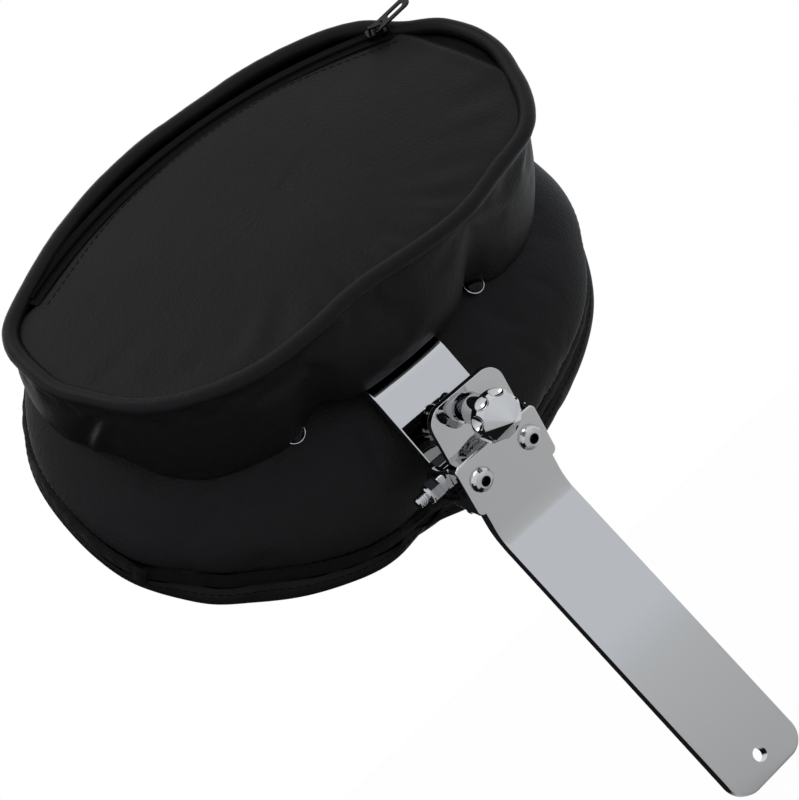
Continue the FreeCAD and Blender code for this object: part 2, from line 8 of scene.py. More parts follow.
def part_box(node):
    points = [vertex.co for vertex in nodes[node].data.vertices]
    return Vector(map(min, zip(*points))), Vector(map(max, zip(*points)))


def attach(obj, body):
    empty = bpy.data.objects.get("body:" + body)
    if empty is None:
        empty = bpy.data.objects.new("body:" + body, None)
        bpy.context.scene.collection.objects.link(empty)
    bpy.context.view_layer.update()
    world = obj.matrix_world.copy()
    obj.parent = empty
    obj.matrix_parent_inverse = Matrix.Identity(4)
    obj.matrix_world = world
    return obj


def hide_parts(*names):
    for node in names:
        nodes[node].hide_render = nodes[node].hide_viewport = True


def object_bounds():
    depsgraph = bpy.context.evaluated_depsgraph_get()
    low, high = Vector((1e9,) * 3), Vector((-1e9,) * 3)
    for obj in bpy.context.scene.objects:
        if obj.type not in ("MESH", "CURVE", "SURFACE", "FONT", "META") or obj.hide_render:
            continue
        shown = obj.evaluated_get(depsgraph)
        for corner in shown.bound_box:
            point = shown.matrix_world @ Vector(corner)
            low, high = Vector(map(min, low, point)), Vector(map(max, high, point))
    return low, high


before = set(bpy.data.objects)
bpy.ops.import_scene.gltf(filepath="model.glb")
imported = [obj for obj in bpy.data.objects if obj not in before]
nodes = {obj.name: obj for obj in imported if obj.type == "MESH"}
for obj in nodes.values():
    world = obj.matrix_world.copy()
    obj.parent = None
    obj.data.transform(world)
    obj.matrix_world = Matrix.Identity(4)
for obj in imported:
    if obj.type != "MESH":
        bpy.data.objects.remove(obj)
cad_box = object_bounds()


# Blade and folding bracket: thick flat steel, bent, ground and polished, then chrome plated.
# The plating mirrors the room, with only a faint waviness from the polishing wheel.
def effect_group(name, inputs, outputs):
    """Empty shader group with named float inputs and named outputs."""
    group = bpy.data.node_groups.new(name, "ShaderNodeTree")
    for socket, value in inputs.items():
        made = group.interface.new_socket(name=socket, in_out="INPUT", socket_type="NodeSocketFloat")
        made.default_value = value
    for socket, kind in outputs.items():
        group.interface.new_socket(name=socket, in_out="OUTPUT", socket_type=kind)
    return group, group.nodes.new("NodeGroupInput"), group.nodes.new("NodeGroupOutput")


def put(tree, kind, values=None, **settings):
    """Add a node, set its properties, then its inputs: a socket is linked and anything else is a value."""
    node = tree.nodes.new(kind)
    for key, value in settings.items():
        setattr(node, key, value)
    for key, value in (values or {}).items():
        if isinstance(value, bpy.types.NodeSocket):
            tree.links.new(value, node.inputs[key])
        else:
            node.inputs[key].default_value = value
    return node


def sum_of(tree, operation, a, b):
    return put(tree, "ShaderNodeMath", {0: a, 1: b}, operation=operation).outputs[0]


def spread(tree, value, low, high):
    """Map 0..1 to a range."""
    return put(tree, "ShaderNodeMapRange", {"Value": value, "To Min": low, "To Max": high}).outputs["Result"]


def material_with(name, colour, metallic=0.0, roughness=0.5, **sockets):
    """Material whose plain values are set on the shader's own sockets."""
    material = bpy.data.materials.new(name)
    material.use_nodes = True
    shader = material.node_tree.nodes["Principled BSDF"]
    shader.inputs["Base Color"].default_value = (*colour, 1)
    shader.inputs["Metallic"].default_value = metallic
    shader.inputs["Roughness"].default_value = roughness
    for key, value in sockets.items():
        shader.inputs[key.replace("_", " ")].default_value = value
    return material, material.node_tree, shader


def raise_surface(tree, shader, height, distance, strength=1.0):
    bump = put(tree, "ShaderNodeBump", {"Height": height, "Distance": distance, "Strength": strength})
    tree.links.new(bump.outputs["Normal"], shader.inputs["Normal"])


polish, polish_in, polish_out = effect_group(
    "polish marks", {"Low": 0.03, "High": 0.09},
    {"Roughness": "NodeSocketFloat", "Height": "NodeSocketFloat"})
where = put(polish, "ShaderNodeTexCoord").outputs["Object"]
smears = put(polish, "ShaderNodeTexNoise", {"Vector": where, "Scale": 22.0, "Detail": 5.0, "Distortion": 0.8})
wheel = put(polish, "ShaderNodeTexNoise", {"Vector": where, "Scale": 9.0, "Detail": 1.0})
polish.links.new(spread(polish, smears.outputs["Fac"], polish_in.outputs["Low"], polish_in.outputs["High"]),
                 polish_out.inputs["Roughness"])
polish.links.new(wheel.outputs["Fac"], polish_out.inputs["Height"])


def plated(name, colour, low, high, wave):
    """Polished plating: its roughness varies between two values, and it is wavy by so many metres."""
    material, tree, shader = material_with(name, colour, metallic=1.0)
    marks = put(tree, "ShaderNodeGroup", node_tree=polish)
    marks.inputs["Low"].default_value = low
    marks.inputs["High"].default_value = high
    tree.links.new(marks.outputs["Roughness"], shader.inputs["Roughness"])
    raise_surface(tree, shader, marks.outputs["Height"], wave)
    return material


def finish_nodes(material, *names):
    for name in names:
        nodes[name].data.materials.clear()
        nodes[name].data.materials.append(material)


CHROME = (0.55, 0.555, 0.56)
chrome = plated("polished chrome", CHROME, 0.02, 0.05, 0.0003)
finish_nodes(chrome, "blade", "hinge_block")


def polished_edges(name, node, width):
    """Copy of a CAD solid whose sharp edges are rounded off as a polishing wheel leaves them."""
    mesh = nodes[node].data.copy()
    shape = bmesh.new()
    shape.from_mesh(mesh)
    bmesh.ops.remove_doubles(shape, verts=shape.verts, dist=1e-6)
    bmesh.ops.dissolve_limit(shape, angle_limit=math.radians(0.5), verts=shape.verts, edges=shape.edges)
    sharp = [e for e in shape.edges if len(e.link_faces) == 2 and e.calc_face_angle() > math.radians(35)]
    bmesh.ops.bevel(shape, geom=sharp, offset=width, segments=3, profile=0.5, affect="EDGES",
                    clamp_overlap=True)
    shape.to_mesh(mesh)
    shape.free()
    mesh.name = name
    mesh.shade_smooth()
    mesh.set_sharp_from_angle(angle=math.radians(28))
    piece = bpy.data.objects.new(name, mesh)
    bpy.context.scene.collection.objects.link(piece)
    return piece


bracket = polished_edges("bracket_polished", "bracket", 0.0007)
bracket.data.materials.clear()
bracket.data.materials.append(chrome)
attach(bracket, "blade_side")
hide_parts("bracket")

# Head screws: button heads with hexagon sockets, chromed like the blade. The plating hardly reaches
# into the sockets, and a round near-black patch is painted over each socket as well: painted shade of the
# recess together with that duller metal.
HEAD_SLOPE = (0.0, 0.583541, 0.812084)       # the way up the blade's head
SCREW_ACROSS, SCREW_LEVEL = 0.0178, 0.1750   # from the middle plane, and up that slope
SOCKET_INSIDE, SOCKET_EDGE = 0.0028, 0.0031
SOCKET_PAINTED_SHADE = (0.012, 0.012, 0.013, 1)
screw_chrome = plated("screw chrome", CHROME, 0.02, 0.05, 0.0003)
screw_tree = screw_chrome.node_tree
where = put(screw_tree, "ShaderNodeTexCoord").outputs["Object"]
sideways = put(screw_tree, "ShaderNodeSeparateXYZ", {0: where}).outputs["X"]
across = sum_of(screw_tree, "SUBTRACT", sum_of(screw_tree, "ABSOLUTE", sideways, 0.0), SCREW_ACROSS)
upwards = put(screw_tree, "ShaderNodeVectorMath", {0: where, 1: HEAD_SLOPE}, operation="DOT_PRODUCT")
along = sum_of(screw_tree, "SUBTRACT", upwards.outputs["Value"], SCREW_LEVEL)
offset = put(screw_tree, "ShaderNodeCombineXYZ", {"X": across, "Y": along}).outputs[0]
apart = put(screw_tree, "ShaderNodeVectorMath", {0: offset}, operation="LENGTH").outputs["Value"]
# Painted shade: inside each socket's radius the base colour turns near-black instead of chrome.
outside = put(screw_tree, "ShaderNodeMapRange", {
    "Value": apart, "From Min": SOCKET_INSIDE, "From Max": SOCKET_EDGE}).outputs["Result"]
painted_socket_shade = put(screw_tree, "ShaderNodeMix", {"Factor": outside}, data_type="RGBA")
painted_socket_shade.inputs[6].default_value = SOCKET_PAINTED_SHADE
painted_socket_shade.inputs[7].default_value = (*CHROME, 1)
screw_tree.links.new(painted_socket_shade.outputs[2], screw_tree.nodes["Principled BSDF"].inputs["Base Color"])
finish_nodes(screw_chrome, "head_screws")

# Strap: flat chromed steel, welded to the hinge block. It is bent back a little just below the hem of
# the pouch, so that its polished face mirrors the dark pouch above the bend.
STRAP_BEND, STRAP_TOP = 0.2863, 0.4200   # upper end of the CAD solid's bend, and top of the strap
BEND_REACH = 0.0070                      # how far down that bend reaches
BEND_DOWN = 0.0135                       # how much lower the bend sits here
STRAP_SLOPE = 0.0926                     # rearwards for each metre up, below the bend
strap = polished_edges("strap_polished", "strap", 0.0004)
for vertex in strap.data.vertices:
    if vertex.co.z > STRAP_BEND - BEND_REACH:
        share = min(1.0, (STRAP_TOP - vertex.co.z) / (STRAP_TOP - STRAP_BEND))
        vertex.co.z -= BEND_DOWN * share
        vertex.co.y -= STRAP_SLOPE * BEND_DOWN * share
strap.data.materials.clear()
strap.data.materials.append(chrome)
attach(strap, "pad_side")
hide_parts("strap")

# Hinge: a zinc-plated bolt with a self-locking nut, plain washers, and flanged bronze bushes in the
# block. The bolt's end stands out of the nut and shows its rolled thread.
zinc = plated("bright zinc", (0.50, 0.51, 0.53), 0.05, 0.12, 0.0002)
bronze = plated("oiled bronze", (0.36, 0.22, 0.09), 0.25, 0.42, 0.0002)
finish_nodes(zinc, "hinge_bolt", "hinge_nut", "hinge_washers", "stop_nut", "stop_stud", "mount_screws")
finish_nodes(bronze, "hinge_bushes")


def geometry_tree(name, sizes):
    """Empty Geometry Nodes tree with named inputs for its sizes and for its material."""
    tree = bpy.data.node_groups.new(name, "GeometryNodeTree")
    tree.interface.new_socket(name="Geometry", in_out="INPUT", socket_type="NodeSocketGeometry")
    for socket in sizes:
        kind = "NodeSocketVector" if socket in ("Facing", "Size") else "NodeSocketFloat"
        tree.interface.new_socket(name=socket, in_out="INPUT", socket_type=kind)
    tree.interface.new_socket(name="Material", in_out="INPUT", socket_type="NodeSocketMaterial")
    tree.interface.new_socket(name="Geometry", in_out="OUTPUT", socket_type="NodeSocketGeometry")
    return tree, tree.nodes.new("NodeGroupInput"), tree.nodes.new("NodeGroupOutput")


def close_tree(tree, entry, leave, geometry):
    """Every tree ends in real geometry, smooth shading and its material."""
    real = put(tree, "GeometryNodeRealizeInstances", {"Geometry": geometry})
    smooth = put(tree, "GeometryNodeSetShadeSmooth", {"Geometry": real.outputs["Geometry"]})
    last = put(tree, "GeometryNodeSetMaterial", {"Geometry": smooth.outputs["Geometry"],
                                                 "Material": entry.outputs["Material"]})
    tree.links.new(last.outputs["Geometry"], leave.inputs["Geometry"])


def path_object(name, points, closed):
    mesh = bpy.data.meshes.new(name)
    edges = [(i, i + 1) for i in range(len(points) - 1)]
    if closed:
        edges.append((len(points) - 1, 0))
    mesh.from_pydata(points, edges, [])
    path = bpy.data.objects.new(name, mesh)
    bpy.context.scene.collection.objects.link(path)
    return path


def grow(piece, tree, **inputs):
    """Run a tree on a piece, and keep the result as its plain mesh."""
    modifier = piece.modifiers.new(tree.name, "NODES")
    modifier.node_group = tree
    for item in tree.interface.items_tree:
        if item.in_out == "INPUT" and item.name in inputs:
            modifier[item.identifier] = inputs[item.name]
    bpy.context.view_layer.update()
    made = bpy.data.meshes.new_from_object(piece.evaluated_get(bpy.context.evaluated_depsgraph_get()))
    made.name = piece.name
    piece.modifiers.clear()
    piece.data = made
    return piece


thread_tree, thread_in, thread_out = geometry_tree("screw thread", ["Radius", "Turns", "Reach", "Crest"])
helix = put(thread_tree, "GeometryNodeCurveSpiral", {
    "Resolution": 24, "Rotations": thread_in.outputs["Turns"], "Start Radius": thread_in.outputs["Radius"],
    "End Radius": thread_in.outputs["Radius"], "Height": thread_in.outputs["Reach"]})
ridge = put(thread_tree, "GeometryNodeCurvePrimitiveCircle", {
    "Resolution": 4, "Radius": thread_in.outputs["Crest"]})
coil = put(thread_tree, "GeometryNodeCurveToMesh", {
    "Curve": helix.outputs["Curve"], "Profile Curve": ridge.outputs["Curve"], "Fill Caps": True})
upright = put(thread_tree, "GeometryNodeTransform", {"Geometry": coil.outputs["Mesh"],
                                                     "Rotation": (0, math.pi / 2, 0)})
close_tree(thread_tree, thread_in, thread_out, upright.outputs["Geometry"])

bolt_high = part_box("hinge_bolt")[1]
nut_low, nut_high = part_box("hinge_nut")
hinge = (nut_low + nut_high) / 2
thread_pitch = 0.00127
thread_reach = bolt_high.x - nut_high.x - 0.001
bolt_thread = path_object("hinge_bolt_thread", [(0, 0, 0), (0, 0, 0.001)], False)
grow(bolt_thread, thread_tree, Radius=0.00305, Turns=thread_reach / thread_pitch, Reach=thread_reach,
     Crest=0.00045, Material=zinc)
bolt_thread.data.transform(Matrix.Translation((nut_high.x, hinge.y, hinge.z)))
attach(bolt_thread, "blade_side")

# Recline stop: a threaded stud through the bracket's tab, with a fluted and pointed chromed knob
# pressed on its rear end.
finish_nodes(chrome, "stop_knob")

# Mounting plate and inserts: a plate of painted steel that holds the strap on the pad, and the brass
# inserts that its screws go into. The pouch and the pad's covers hide them.
def speckle(tree, scale, detail=2.0):
    """Fine noise that is fixed to the piece."""
    place = put(tree, "ShaderNodeTexCoord").outputs["Object"]
    return put(tree, "ShaderNodeTexNoise", {"Vector": place, "Scale": scale, "Detail": detail}).outputs["Fac"]


paint, paint_tree, paint_shader = material_with("black plate paint", (0.012, 0.012, 0.013), roughness=0.4)
raise_surface(paint_tree, paint_shader, speckle(paint_tree, 600.0), 0.0002)
finish_nodes(paint, "mount_plate")
finish_nodes(plated("insert brass", (0.62, 0.44, 0.16), 0.2, 0.35, 0.0002), "shell_inserts")

# Pad covers: grained black vinyl cut as a back panel and a front panel, with a woven edge band sewn
# between them. The foam swells each panel between its seams and the seams draw it in.
PAD_CENTRE = Vector((0, -0.0757, 0.3320))
PAD_TURN = Matrix.Rotation(math.radians(9.5), 3, "X")
PAD_HALF_WIDTH = 0.177
PAD_HALF_HEIGHT = 0.140
PAD_BACK = 0.061     # depth of the back panel's crown
PAD_FRONT = 0.038    # depth of the front panel's crown
PAD_SEAM = 0.016     # width of the edge band
SEAM_DRAW = 0.040    # share of the outline that the seams of the lower edge take in
LOW_MIDDLE, LOW_START, LOW_FULL = -92, 78, 58   # where they do, in degrees round the outline
# Where a soft outline gives outwards: degrees round it from the +X end, metres, and spread in degrees.
PAD_BENDS = ((22, 0.0040, 24), (-20, 0.0026, 14), (-34, 0.0024, 7), (-81, -0.0060, 10), (-142, 0.0070, 17),
             (-158, 0.0026, 9), (179, -0.0040, 10))
BACK_POWER = 2.6
FRONT_POWER = 3.0
PAD_COLUMNS = 240


def pad_frame(x, y, z):
    return PAD_CENTRE + PAD_TURN @ Vector((x, y, z))


def bent(degrees, bends):
    """How far a soft outline gives outwards at an angle."""
    give = 0.0
    for at, amount, spread_by in bends:
        away = (degrees - at + 180) % 360 - 180
        give += amount * math.exp(-(away / spread_by) ** 2)
    return give


def eased(value, start, stop):
    t = min(max((value - start) / (stop - start), 0.0), 1.0)
    return t * t * (3 - 2 * t)


def pad_share(level, depth, power):
    return max(1 - abs(level / depth) ** power, 0.0) ** (1 / power)


def pad_point(share, level, degrees):
    """Point of the pad: the seams of its lower edge are drawn in and the front panel swells past them."""
    turn = math.radians(degrees)
    low = eased(abs((degrees - LOW_MIDDLE + 180) % 360 - 180), LOW_START, LOW_FULL)
    drawn = 1 - SEAM_DRAW * low * math.exp(-(min(level, 0.0) / 0.006) ** 2)
    give = bent(degrees, PAD_BENDS) * share ** 3
    way = Vector((math.cos(turn) / PAD_HALF_WIDTH, math.sin(turn) / PAD_HALF_HEIGHT)).normalized() * give
    return pad_frame(share * drawn * PAD_HALF_WIDTH * math.cos(turn) + way.x, level,
                     share * drawn * PAD_HALF_HEIGHT * math.sin(turn) + way.y)


def pad_profile(start, stop, depth, power, rows):
    """(share of the outline, level) of rows of a panel, close together near its seams."""
    fine = []
    for i in range(401):
        level = start + (stop - start) * i / 400
        fine.append((pad_share(level, depth, power), level))
    far = [0.0]
    for a, b in zip(fine, fine[1:]):
        far.append(far[-1] + math.hypot((b[0] - a[0]) * PAD_HALF_HEIGHT, b[1] - a[1]))
    picked = []
    j = 0
    for i in range(rows + 1):
        want = far[-1] * (0.5 - 0.5 * math.cos(math.pi * i / rows))
        while j < 399 and far[j + 1] < want:
            j += 1
        t = (want - far[j]) / max(far[j + 1] - far[j], 1e-9)
        picked.append((fine[j][0] + t * (fine[j + 1][0] - fine[j][0]),
                       fine[j][1] + t * (fine[j + 1][1] - fine[j][1])))
    return picked


def ring_mesh(name, rings, closed_end):
    """Mesh of equal rings of points, with a ladder of faces across the last ring where that end is closed."""
    count = len(rings[0])
    points = [p for ring in rings for p in ring]
    faces = []
    for r in range(len(rings) - 1):
        for c in range(count):
            d = (c + 1) % count
            faces.append((r * count + c, r * count + d, (r + 1) * count + d, (r + 1) * count + c))
    if closed_end:
        last = (len(rings) - 1) * count
        half = count // 2
        faces += [(last + c, last + c + 1, last + count - c - 1, last + count - c)
                  for c in range(1, half - 1)]
        faces += [(last, last + 1, last + count - 1), (last + half - 1, last + half, last + half + 1)]
    mesh = bpy.data.meshes.new(name)
    mesh.from_pydata(points, [], faces)
    piece = bpy.data.objects.new(name, mesh)
    bpy.context.scene.collection.objects.link(piece)
    mesh.shade_smooth()
    return piece


def face_outwards(piece, middle):
    """Turn all faces over where they point at the middle of the object."""
    mesh = piece.data
    inside = sum(1 if (f.center - middle).dot(f.normal) < 0 else -1 for f in mesh.polygons)
    if inside > 0:
        mesh.flip_normals()


def settle(piece, sewn, pressure, slack, cap):
    """Let a cover swell and crease as cloth between the points where it is sewn down."""
    piece.vertex_groups.new(name="sewn").add(sewn, 1.0, "REPLACE")
    cloth = piece.modifiers.new("cloth", "CLOTH")
    cloth.settings.quality = 6
    cloth.settings.mass = 0.15
    cloth.settings.tension_stiffness = 18
    cloth.settings.compression_stiffness = 18
    cloth.settings.shear_stiffness = 8
    cloth.settings.bending_stiffness = 2.5
    cloth.settings.air_damping = 3
    cloth.settings.vertex_group_mass = "sewn"
    cloth.settings.use_pressure = True
    cloth.settings.uniform_pressure_force = pressure
    cloth.settings.shrink_min = -slack
    cloth.settings.effector_weights.gravity = 0
    cloth.collision_settings.use_collision = False
    cloth.point_cache.frame_end = 20
    rest = [v.co.copy() for v in piece.data.vertices]
    for step in range(1, 21):
        bpy.context.scene.frame_set(step)
    settled = piece.evaluated_get(bpy.context.evaluated_depsgraph_get()).data
    moved = []
    for old, v in zip(rest, settled.vertices):
        shift = v.co - old
        if shift.length > cap:
            shift *= cap / shift.length
        moved.append(old + shift)
    piece.modifiers.clear()
    for v, place in zip(piece.data.vertices, moved):
        v.co = place
    piece.vertex_groups.clear()
    bpy.context.scene.frame_set(1)


def smooth_once(piece):
    finer = piece.modifiers.new("finer", "SUBSURF")
    finer.levels = finer.render_levels = 1
    made = bpy.data.meshes.new_from_object(piece.evaluated_get(bpy.context.evaluated_depsgraph_get()))
    made.name = piece.name
    piece.modifiers.clear()
    piece.data = made
    made.shade_smooth()


grain, grain_in, grain_out = effect_group(
    "vinyl grain", {"Cells": 620.0, "Sheen Low": 0.36, "Sheen High": 0.56},
    {"Height": "NodeSocketFloat", "Roughness": "NodeSocketFloat", "Shade": "NodeSocketFloat"})
where = put(grain, "ShaderNodeTexCoord").outputs["Object"]
stir = put(grain, "ShaderNodeTexNoise", {"Vector": where, "Scale": 260.0, "Detail": 2.0})
stirred = put(grain, "ShaderNodeVectorMath", {0: stir.outputs["Color"], 1: (0.0035, 0.0035, 0.0035)},
              operation="MULTIPLY").outputs[0]
curled = put(grain, "ShaderNodeVectorMath", {0: where, 1: stirred}, operation="ADD").outputs[0]
pebbles = put(grain, "ShaderNodeTexVoronoi", {"Vector": curled, "Scale": grain_in.outputs["Cells"]},
              feature="SMOOTH_F1")
veins = put(grain, "ShaderNodeTexNoise", {"Vector": where, "Scale": 95.0, "Detail": 6.0, "Roughness": 0.65})
height = sum_of(grain, "ADD", pebbles.outputs["Distance"],
                sum_of(grain, "MULTIPLY", veins.outputs["Fac"], 0.9))
patches = put(grain, "ShaderNodeTexNoise", {"Vector": where, "Scale": 14.0, "Detail": 4.0})
grain.links.new(height, grain_out.inputs["Height"])
grain.links.new(spread(grain, patches.outputs["Fac"], grain_in.outputs["Sheen Low"],
                       grain_in.outputs["Sheen High"]), grain_out.inputs["Roughness"])
grain.links.new(sum_of(grain, "ADD", sum_of(grain, "MULTIPLY", veins.outputs["Fac"], 0.5), 0.75),
                grain_out.inputs["Shade"])


def tinted(tree, shader, colour, shade):
    """Base colour that a shade makes lighter and darker."""
    tint = put(tree, "ShaderNodeMix", {"Factor": 1.0, 7: shade}, data_type="RGBA", blend_type="MULTIPLY")
    tint.inputs[6].default_value = (*colour, 1)
    tree.links.new(tint.outputs[2], shader.inputs["Base Color"])


VINYL_SHEEN = 0.10


def vinyl_like(name, colour, cells, low, high, depth):
    material, tree, shader = material_with(name, colour, Specular_IOR_Level=VINYL_SHEEN)
    look = put(tree, "ShaderNodeGroup", node_tree=grain)
    look.inputs["Cells"].default_value = cells
    look.inputs["Sheen Low"].default_value = low
    look.inputs["Sheen High"].default_value = high
    tinted(tree, shader, colour, look.outputs["Shade"])
    tree.links.new(look.outputs["Roughness"], shader.inputs["Roughness"])
    raise_surface(tree, shader, look.outputs["Height"], depth, 0.5)
    return material


vinyl = vinyl_like("black grained vinyl", (0.0075, 0.0075, 0.0084), 620.0, 0.40, 0.54, 0.0005)


def pad_panel(name, start, stop, depth, power, rows):
    rings = []
    for share, level in pad_profile(start, stop, depth, power, rows):
        if share < 0.02:
            continue
        rings.append([pad_point(share, level, 360 * c / PAD_COLUMNS) for c in range(PAD_COLUMNS)])
    piece = ring_mesh(name, rings, abs(stop) > 0.03)
    face_outwards(piece, PAD_CENTRE)
    return piece, rings


def seam_tuck(piece, edges, depth, width):
    """Draw a panel in along its sewn edges."""
    mesh = piece.data
    normals = [v.normal.copy() for v in mesh.vertices]
    sewn = [p for ring in edges for p in ring]
    places = kdtree.KDTree(len(sewn))
    for i, p in enumerate(sewn):
        places.insert(p, i)
    places.balance()
    for v, n in zip(mesh.vertices, normals):
        near = places.find(v.co)[2]
        v.co -= n * depth * math.exp(-(near / width) ** 2)


def uneven(piece, size, height, seed):
    """Slow unevenness of stuffed fabric."""
    normals = [v.normal.copy() for v in piece.data.vertices]
    for v, n in zip(piece.data.vertices, normals):
        v.co += n * height * noise.noise(v.co / size + Vector((seed, 0, 0)))


BACK_ROWS, BAND_ROWS, FRONT_ROWS = 46, 12, 44
POUCH_LEVEL = 0.0545   # the back panel is held down by the pouch above this level
back_panel, back_rings = pad_panel("pad_back_panel", PAD_SEAM, PAD_BACK, PAD_BACK, BACK_POWER, BACK_ROWS)
edge_band, band_rings = pad_panel("pad_edge_strip", 0.0, PAD_SEAM, PAD_BACK, BACK_POWER, BAND_ROWS)
front_panel, front_rings = pad_panel("pad_front_panel", 0.0, -PAD_FRONT, -PAD_FRONT, FRONT_POWER, FRONT_ROWS)
first_row = list(range(PAD_COLUMNS))
last_row = list(range(BAND_ROWS * PAD_COLUMNS, (BAND_ROWS + 1) * PAD_COLUMNS))
under_pouch = [i for i, v in enumerate(back_panel.data.vertices)
               if (PAD_TURN.inverted() @ (v.co - PAD_CENTRE)).y > POUCH_LEVEL]
settle(back_panel, first_row + under_pouch, 2.5, 0.004, 0.004)
settle(edge_band, first_row + last_row, 2.0, 0.006, 0.003)
settle(front_panel, first_row, 2.5, 0.004, 0.006)
for piece, height, seed in ((back_panel, 0.0009, 3.0), (front_panel, 0.0012, 7.0), (edge_band, 0.0006, 11.0)):
    uneven(piece, 0.045, height, seed)

bpy.context.view_layer.update()
seam_tuck(back_panel, back_rings[:1], 0.0022, 0.0030)
seam_tuck(front_panel, front_rings[:1], 0.0022, 0.0030)
seam_tuck(edge_band, [band_rings[0], band_rings[-1]], 0.0018, 0.0026)
for piece in (back_panel, edge_band, front_panel):
    smooth_once(piece)

weave, weave_in, weave_out = effect_group(
    "woven web", {"Threads": 900.0}, {"Height": "NodeSocketFloat", "Shade": "NodeSocketFloat"})
where = put(weave, "ShaderNodeTexCoord").outputs["Object"]
axes = put(weave, "ShaderNodeSeparateXYZ", {0: where})
slant = sum_of(weave, "ADD", axes.outputs["X"], axes.outputs["Z"])
cross = sum_of(weave, "SUBTRACT", axes.outputs["X"],
               sum_of(weave, "ADD", axes.outputs["Z"], axes.outputs["Y"]))
turns = sum_of(weave, "MULTIPLY", weave_in.outputs["Threads"], 2 * math.pi)
warp = sum_of(weave, "SINE", sum_of(weave, "MULTIPLY", slant, turns), 0.0)
weft = sum_of(weave, "SINE", sum_of(weave, "MULTIPLY", cross, turns), 0.0)
checks = sum_of(weave, "MULTIPLY", warp, weft)
weave.links.new(checks, weave_out.inputs["Height"])
weave.links.new(sum_of(weave, "ADD", sum_of(weave, "MULTIPLY", checks, 0.18), 0.82),
                weave_out.inputs["Shade"])


def woven(name, colour, threads, roughness, depth):
    material, tree, shader = material_with(name, colour, roughness=roughness, Specular_IOR_Level=0.15)
    look = put(tree, "ShaderNodeGroup", node_tree=weave)
    look.inputs["Threads"].default_value = threads
    tinted(tree, shader, colour, look.outputs["Shade"])
    raise_surface(tree, shader, look.outputs["Height"], depth)
    return material


band_cloth = woven("woven edge band", (0.004, 0.004, 0.004), 480.0, 0.75, 0.0003)
for piece, material, slot, hidden in ((back_panel, vinyl, "vinyl", ("pad_back_cover", "pad_shell")),
                                      (edge_band, band_cloth, "band", ("pad_edge_band",)),
                                      (front_panel, vinyl, "vinyl", ("pad_front_cover", "pad_foam"))):
    piece.data.materials.append(material)
    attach(piece, "pad_side")
    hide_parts(*hidden)

# Seam allowance of the pad: the turned-in edges of the panels and the band, sewn together in a strip
# of band cloth that lies under the seams and closes the pad between them.
ALLOWANCE_OUTER, ALLOWANCE_INNER = 0.030, 0.042   # shares of the outline, inwards
ALLOWANCE_LEVELS = [-0.008 + 0.034 * j / 8 for j in range(9)]


def allowance_ring(level, inset):
    depth, power = (PAD_BACK, BACK_POWER) if level > 0 else (PAD_FRONT, FRONT_POWER)
    share = pad_share(level, depth, power) - inset
    return [pad_point(share, level, 360 * c / PAD_COLUMNS) for c in range(PAD_COLUMNS)]


outer_rings = [allowance_ring(level, ALLOWANCE_OUTER) for level in ALLOWANCE_LEVELS]
inner_rings = [allowance_ring(level, ALLOWANCE_INNER) for level in reversed(ALLOWANCE_LEVELS)]
allowance = ring_mesh("pad_seam_allowance", outer_rings + inner_rings + outer_rings[:1], False)
shape = bmesh.new()
shape.from_mesh(allowance.data)
bmesh.ops.remove_doubles(shape, verts=shape.verts, dist=1e-6)
bmesh.ops.recalc_face_normals(shape, faces=shape.faces)
shape.to_mesh(allowance.data)
shape.free()
allowance.data.materials.append(band_cloth)
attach(allowance, "pad_side")

# Joint of the edge band: its end is folded under and laps over its beginning, low on the left. It is
# of the same woven cloth, and it stands a little proud of the band.
JOINT_AT, JOINT_HALF = -18.5, 1.7   # degrees round the pad: the middle and half the width of the lap
JOINT_PROUD = 0.0022
JOINT_COLUMNS, JOINT_ROWS = 12, 14


def gauge(piece, thickness):
    """Give a sheet its thickness, inwards."""
    sheet = piece.modifiers.new("gauge", "SOLIDIFY")
    sheet.thickness = thickness
    sheet.offset = -1


joint_rings = []
for i in range(JOINT_COLUMNS + 1):
    degrees = JOINT_AT + JOINT_HALF * (2 * i / JOINT_COLUMNS - 1)
    proud = JOINT_PROUD * math.sin(math.pi * min(i / JOINT_COLUMNS + 0.06, 0.94)) ** 0.4
    ring = []
    for j in range(JOINT_ROWS + 1):
        level = PAD_SEAM * (0.5 - 0.54 * math.cos(math.pi * j / JOINT_ROWS))
        place = pad_point(pad_share(level, PAD_BACK, BACK_POWER), level, degrees)
        out = (place - pad_frame(0, level, 0)).normalized()
        ring.append(place + out * proud * math.sin(math.pi * (j + 1) / (JOINT_ROWS + 2)) ** 0.3)
    joint_rings.append(ring)
across = JOINT_ROWS + 1
joint_mesh = bpy.data.meshes.new("band_joint")
joint_mesh.from_pydata([q for ring in joint_rings for q in ring], [],
                       [(i * across + j, i * across + j + 1, (i + 1) * across + j + 1, (i + 1) * across + j)
                        for i in range(JOINT_COLUMNS) for j in range(JOINT_ROWS)])
joint = bpy.data.objects.new("band_joint", joint_mesh)
bpy.context.scene.collection.objects.link(joint)
joint_mesh.shade_smooth()
face_outwards(joint, PAD_CENTRE)
joint_mesh.materials.append(band_cloth)
gauge(joint, 0.0012)
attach(joint, "pad_side")

